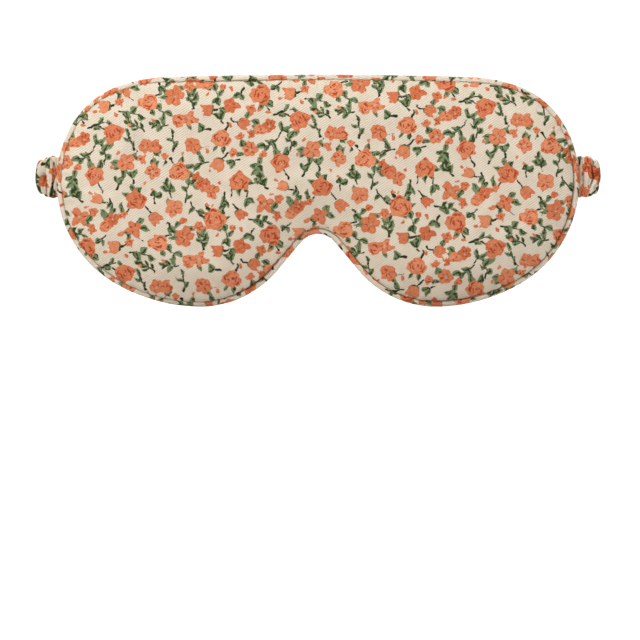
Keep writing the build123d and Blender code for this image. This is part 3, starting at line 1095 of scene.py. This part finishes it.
def floral(name, gathered=False):
    """Cotton twill with the flower print. The layers' edges come from distances kept at the vertices.
    On the gathered strap the printed shapes are leaner, the creases get painted shade and the crests a painted
    highlight; on the other pieces the seam's groove gets painted shade."""
    m = Nodes(name)
    cloth = m.read("cloth", vector=True)
    ribs = weave(m, cloth, 0.42, True)
    rough_edge = m.mul(m.math("SUBTRACT", m.noise(cloth, 1.0, 3, 0.65), 0.5), 0.85)
    tone = m.noise(cloth, 0.13, 3)
    blot = m.noise(cloth, 0.85, 4, 0.65)
    grown = -0.22 if gathered else 0.0

    def edge(layer, soft=0.11, shift=0.0):
        at = grown + shift
        return m.ramp(m.add(m.read(layer), rough_edge), at - soft, at + soft)

    ground = m.mix(m.ramp(tone, 0.3, 0.7), srgb(228, 214, 193), srgb(237, 224, 205))
    # Painted shade in the twill's grooves: the ribs darken the ground, more strongly in some places than in others.
    rib_shade_strength = m.ramp(m.noise(cloth, 0.25, 3), 0.3, 0.7, 0.12, 0.42)
    ground = m.mix(m.mul(m.ramp(ribs, -0.2, 0.9), rib_shade_strength), ground, srgb(192, 172, 144))
    if gathered:
        # Painted highlight on the strap's fold crests, on the ground only.
        ground = m.mix(m.ramp(m.read("painted_fold_shade_and_highlight"), -0.8, -0.1, 0.35, 0.0), ground, srgb(248, 236, 208))
    stem = m.mix(blot, srgb(18, 30, 6), srgb(40, 54, 18))
    leaf_green = m.mix(m.ramp(blot, 0.3, 0.7), srgb(100, 121, 80), srgb(142, 156, 117))
    leaf_dark = m.mix(blot, srgb(28, 40, 12), srgb(58, 74, 34))
    shade = m.add(m.mul(m.read("tone"), 0.3), blot)
    coral = m.mix(m.ramp(shade, 0.2, 0.85), srgb(205, 107, 66), srgb(237, 156, 113))
    coral = m.mix(m.ramp(m.noise(cloth, 0.5, 2), 0.50, 0.70, 0.0, 0.75), coral, srgb(214, 112, 80))
    coral = m.mix(m.ramp(m.read("petal"), 0.0, 0.5, 0.5, 0.0), coral, srgb(212, 102, 50))
    coral = m.mix(m.ramp(m.noise(cloth, 0.75, 3, 0.6), 0.54, 0.72, 0.0, 0.6), coral, srgb(238, 164, 124))
    if gathered:
        coral = m.mix(0.38, coral, srgb(222, 96, 48))
    line = m.mix(blot, srgb(158, 44, 20), srgb(192, 76, 42))
    heart = m.mix(blot, srgb(124, 130, 98), srgb(232, 216, 188))
    colour = m.mix(edge("stem", 0.10), ground, stem)
    colour = m.mix(edge("leaf"), colour, leaf_green)
    colour = m.mix(edge("vein", 0.09), colour, leaf_dark)
    colour = m.mix(edge("petal"), colour, coral)
    lines = m.mul(edge("swirl", 0.10), edge("petal", 0.08, 0.12))
    colour = m.mix(m.mul(lines, 0.95), colour, line)
    colour = m.mix(edge("heart", 0.12), colour, heart)
    threads = m.ramp(m.noise(m.scaled(cloth, (1, 6, 1)), 1.6, 2), 0.3, 0.7, 0.0, 0.02)
    colour = m.mix(threads, colour, srgb(250, 243, 228))
    shadow = m.ramp(ribs, -0.2, 0.9, 0.0, 0.12)
    colour = m.mix(shadow, colour, srgb(92, 66, 44))
    if gathered:
        # Painted shade in the strap's creases.
        colour = m.mix(m.ramp(m.read("painted_fold_shade_and_highlight"), 0.0, 0.9, 0.07, 0.92), colour, srgb(72, 40, 18))
    else:
        # Painted shade in the seam's groove between the front and the piping.
        colour = m.mix(m.mul(m.read("painted_seam_shade"), 0.55), colour, srgb(88, 60, 28))
    fuzz = m.noise(cloth, 7.0, 2)
    height = m.add(ribs, m.mul(fuzz, 0.8))
    return m.cotton(colour, m.bump(height, 0.00008, 0.7), sheen=0.0, shine=0.05)


def lining_cloth(name):
    """Soft brushed lining, matte, with fine slubs and a faint speckle."""
    m = Nodes(name)
    cloth = m.read("cloth", vector=True)
    threads = weave(m, cloth, 0.46, False)
    base = m.mix(m.ramp(m.noise(cloth, 0.06, 3), 0.3, 0.7), srgb(209, 194, 173), srgb(217, 204, 185))
    slub = m.ramp(m.noise(m.scaled(cloth, (0.35, 2.4, 1)), 0.9, 3, 0.6), 0.5, 0.72, 0.0, 0.30)
    base = m.mix(slub, base, srgb(226, 215, 198))
    speck = m.ramp(m.noise(cloth, 1.15, 3, 0.75), 0.42, 0.66, 0.0, 0.46)
    base = m.mix(speck, base, srgb(180, 162, 138))
    pale = m.ramp(m.noise(m.scaled(cloth, (1, 1.3, 1)), 1.9, 2, 0.7), 0.52, 0.70, 0.0, 0.60)
    base = m.mix(pale, base, srgb(232, 222, 206))
    # Painted shade between the weave's threads.
    base = m.mix(m.ramp(threads, -1, 1, 0.10, 0.0), base, srgb(168, 148, 122))
    fuzz = m.noise(cloth, 3.4, 4, 0.7)
    height = m.add(m.mul(threads, 0.5), m.mul(fuzz, 1.6))
    return m.cotton(base, m.bump(height, 0.00010, 0.8), 0.92, 0.2)


def simple_cloth(name, light, dark, scale, position=False, bump=0.00008):
    """Thread, cord, wadding, elastic and inner cloths: fibres with a soft two-tone colour."""
    m = Nodes(name)
    if position:
        at = m.scaled(m.node("TexCoord", out="Object"), (1000, 1000, 1000))
    else:
        at = m.read("cloth", vector=True)
    fibre = m.noise(m.scaled(at, (1, 1, 2.2)), scale, 4, 0.65)
    colour = m.mix(m.ramp(fibre, 0.3, 0.7), dark, light)
    return m.cotton(colour, m.bump(fibre, bump, 0.7), 0.9, 0.15)


def ribbed_elastic(name):
    """Pale knitted elastic with ribs along it."""
    m = Nodes(name)
    cloth = m.read("cloth", vector=True)
    height = m.add(m.waves(cloth, (0, 1, 0), 0.9), m.mul(m.waves(cloth, (1, 0, 0), 0.7), 0.4))
    # Painted shade in the ribs' troughs, lighter on their tops.
    colour = m.mix(m.ramp(height, -1.2, 1.2), srgb(205, 200, 190), srgb(236, 233, 226))
    return m.cotton(colour, m.bump(height, 0.0001, 0.6), 0.85, 0.1)


def dress(obj, material):
    """Give an object one material."""
    if obj.data.materials:
        for i in range(len(obj.data.materials)):
            obj.data.materials[i] = material
        for slot in obj.material_slots:
            slot.link = "DATA"
            slot.material = material
    else:
        obj.data.materials.append(material)


# ---------------------------------------------------------------- assembly

print_cotton = floral("floral_cotton")
strap_cotton = floral("floral_cotton_strap", True)
lining = lining_cloth("back_lining")
thread = simple_cloth("thread", srgb(240, 231, 214), srgb(218, 204, 180), 2.0)
elastic_mat = ribbed_elastic("elastic")

front = make_front()
dress(front, print_cotton)
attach(front, "mask")
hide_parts("front_panel")

piping = make_piping()
dress(piping, print_cotton)
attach(piping, "mask")
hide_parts("piping_cover")

back = make_back_panel()
dress(back, lining)
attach(back, "mask")
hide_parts("back_panel")

flaps = [make_flap(True), make_flap(False)]
for piece in flaps:
    dress(piece, lining)
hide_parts("flap_panel")
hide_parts("flap_panel")

hem_line = lambda z: flap_edge(z) - STITCH_IN
flap_stitches = [
    make_stitches("flap_hem_stitches_upper", hem_line, -1.8, 37.0, flaps[0]),
    make_stitches("flap_hem_stitches_lower", hem_line, -49.0, -2.0, flaps[1]),
]
for piece in flap_stitches:
    dress(piece, thread)
    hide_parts("flap_hem_stitches")

back_hem_line = lambda z: np.full(len(z), BACK_HEM_X - 0.8)
back_stitches = make_stitches("back_hem_stitches_row", back_hem_line, -48.0, 37.0, back)
dress(back_stitches, thread)
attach(back_stitches, "mask")
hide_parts("back_hem_stitches")

# The flap is held by the seam at the top and bottom; on the real mask it opens most behind the strap. Here each half
# and its stitches only get their placement written into their meshes.
for pair, start, end in (((flaps[0], flap_stitches[0]), 37.0, 4.0), ((flaps[1], flap_stitches[1]), -48.0, -8.0)):
    for piece in pair:
        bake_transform(piece)

for side, word in ((-1, "left"), (1, "right")):
    cover = make_strap(side, word)
    dress(cover, strap_cotton)
    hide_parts(f"strap_cover_{word}_end", "strap_cover_middle")
    band = make_elastic(side, word)
    dress(band, elastic_mat)
    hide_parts(f"strap_elastic_{word}_end", "strap_elastic_middle")
    for piece in (cover, band):
        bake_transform(piece)

inside = {
    "wadding": simple_cloth("wadding", srgb(244, 243, 240), srgb(222, 220, 214), 0.8, True, 0.0004),
    "inner_lining": simple_cloth("pocket_cotton", srgb(228, 218, 200), srgb(206, 194, 172), 2.2, True),
    "insert_front_cover": simple_cloth("insert_cloth", srgb(236, 230, 216), srgb(216, 208, 192), 2.2, True),
    "insert_filling": simple_cloth("insert_filling", srgb(240, 238, 230), srgb(218, 214, 204), 0.8, True, 0.0003),
    "piping_cord": simple_cloth("piping_cord", srgb(240, 236, 226), srgb(214, 208, 194), 1.6, True, 0.0002),
    "seam_thread": simple_cloth("seam_thread", srgb(224, 212, 192), srgb(196, 182, 158), 3.0, True),
}
inside["insert_back_cover"] = inside["insert_front_cover"]
inside["insert_seam_thread"] = inside["seam_thread"]
for node, material in inside.items():
    dress(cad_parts[node], material)

# ---------------------------------------------------------------- stage, light and camera

low_z = min(points_of(piping)[:, 2])
mesh = bpy.data.meshes.new("floor")
mesh.from_pydata([(-6, -6, 0), (6, -6, 0), (6, 6, 0), (-6, 6, 0)], [], [(0, 1, 2, 3)])
floor = added("floor", mesh, (0, 0, low_z * MM - 0.0002))
TABLE, WHITE, SURROUND = (0.62, 0.62, 0.62), (1, 1, 1), 1.1
# The table shows pale, with soft shadows near the part, and runs into the white surround further off.
m = Nodes("floor_pale")
m.fill(m.shader, {"Base Color": TABLE, "Roughness": 0.9, "Specular IOR Level": 0.0})
reach = m.node("VectorMath", {0: m.node("TexCoord", out="Object")}, "Value", operation="LENGTH")
pale, glow = m.node("BsdfDiffuse", {"Color": TABLE}), m.node("Emission", {"Strength": 0.55})
near, far = m.node("AddShader", {0: pale, 1: glow}), m.node("Emission", {"Strength": SURROUND})
shown = m.node("MixShader", {0: m.ramp(reach, 0.16, 0.45), 1: near, 2: far})
seen = m.node("LightPath", out="Is Camera Ray")
surface = m.node("MixShader", {0: seen, 1: m.shader.outputs[0], 2: shown})
m.fill(m.tree.nodes["Material Output"], {"Surface": surface})
dress(floor, m.owner)
floor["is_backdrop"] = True

LAMP_COLOUR = (1.0, 0.985, 0.96)


def aim(obj, place):
    """Turn a lamp or camera to look at a place."""
    obj.rotation_euler = (Vector(place) - obj.location).to_track_quat("-Z", "Y").to_euler()


def area_light(name, place, size, power, colour=WHITE):
    """A soft square lamp that looks at the part."""
    data = bpy.data.lights.new(name, "AREA")
    data.shape = "RECTANGLE"
    data.size = data.size_y = size
    data.energy = power
    data.color = colour
    aim(added(name, data, place), (0, 0, 0))


area_light("key", (-0.42, -0.60, 0.86), 0.45, 8.6, LAMP_COLOUR)
area_light("fill", (0.75, -0.75, 0.25), 0.9, 2.4)
area_light("rear_key", (-0.34, 0.70, 0.84), 0.75, 10.8, LAMP_COLOUR)
area_light("rear_fill", (0.75, 0.75, 0.25), 0.9, 2.4)

m = Nodes("studio", "worlds")
seen = m.node("LightPath", out="Is Camera Ray")
soft = m.tree.nodes["Background"]
m.fill(soft, {"Color": WHITE, "Strength": 0.36})
surround = m.node("Background", {"Color": WHITE, "Strength": SURROUND})
surface = m.node("MixShader", {0: seen, 1: soft.outputs[0], 2: surround})
m.fill(m.tree.nodes["World Output"], {"Surface": surface})
bpy.context.scene.world = m.owner
bpy.context.scene.view_settings.view_transform = "Standard"
bpy.context.scene.view_settings.look = "None"

# The picture's width and middle at the part, how far the aim drops below it, and a long lens as in a
# product photo.
WIDTH_MM, MIDDLE_X, MIDDLE_Z, AIM_DROP = 256.5, 0.8, -5.7, 51.7
LENS, SENSOR = 135.0, 36.0
camera = bpy.data.cameras.new("camera")
camera.lens = LENS
camera.sensor_width = SENSOR
distance = WIDTH_MM * LENS / SENSOR
camera_object = added("camera", camera, (MIDDLE_X * MM, -distance * MM, MIDDLE_Z * MM))
aim(camera_object, (MIDDLE_X * MM, 0, (MIDDLE_Z - AIM_DROP) * MM))
bpy.context.scene.camera = camera_object

final_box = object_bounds()
plain = lambda box: [[float(c) for c in corner] for corner in box]
{"cad": plain(cad_box), "visual": plain(final_box)}
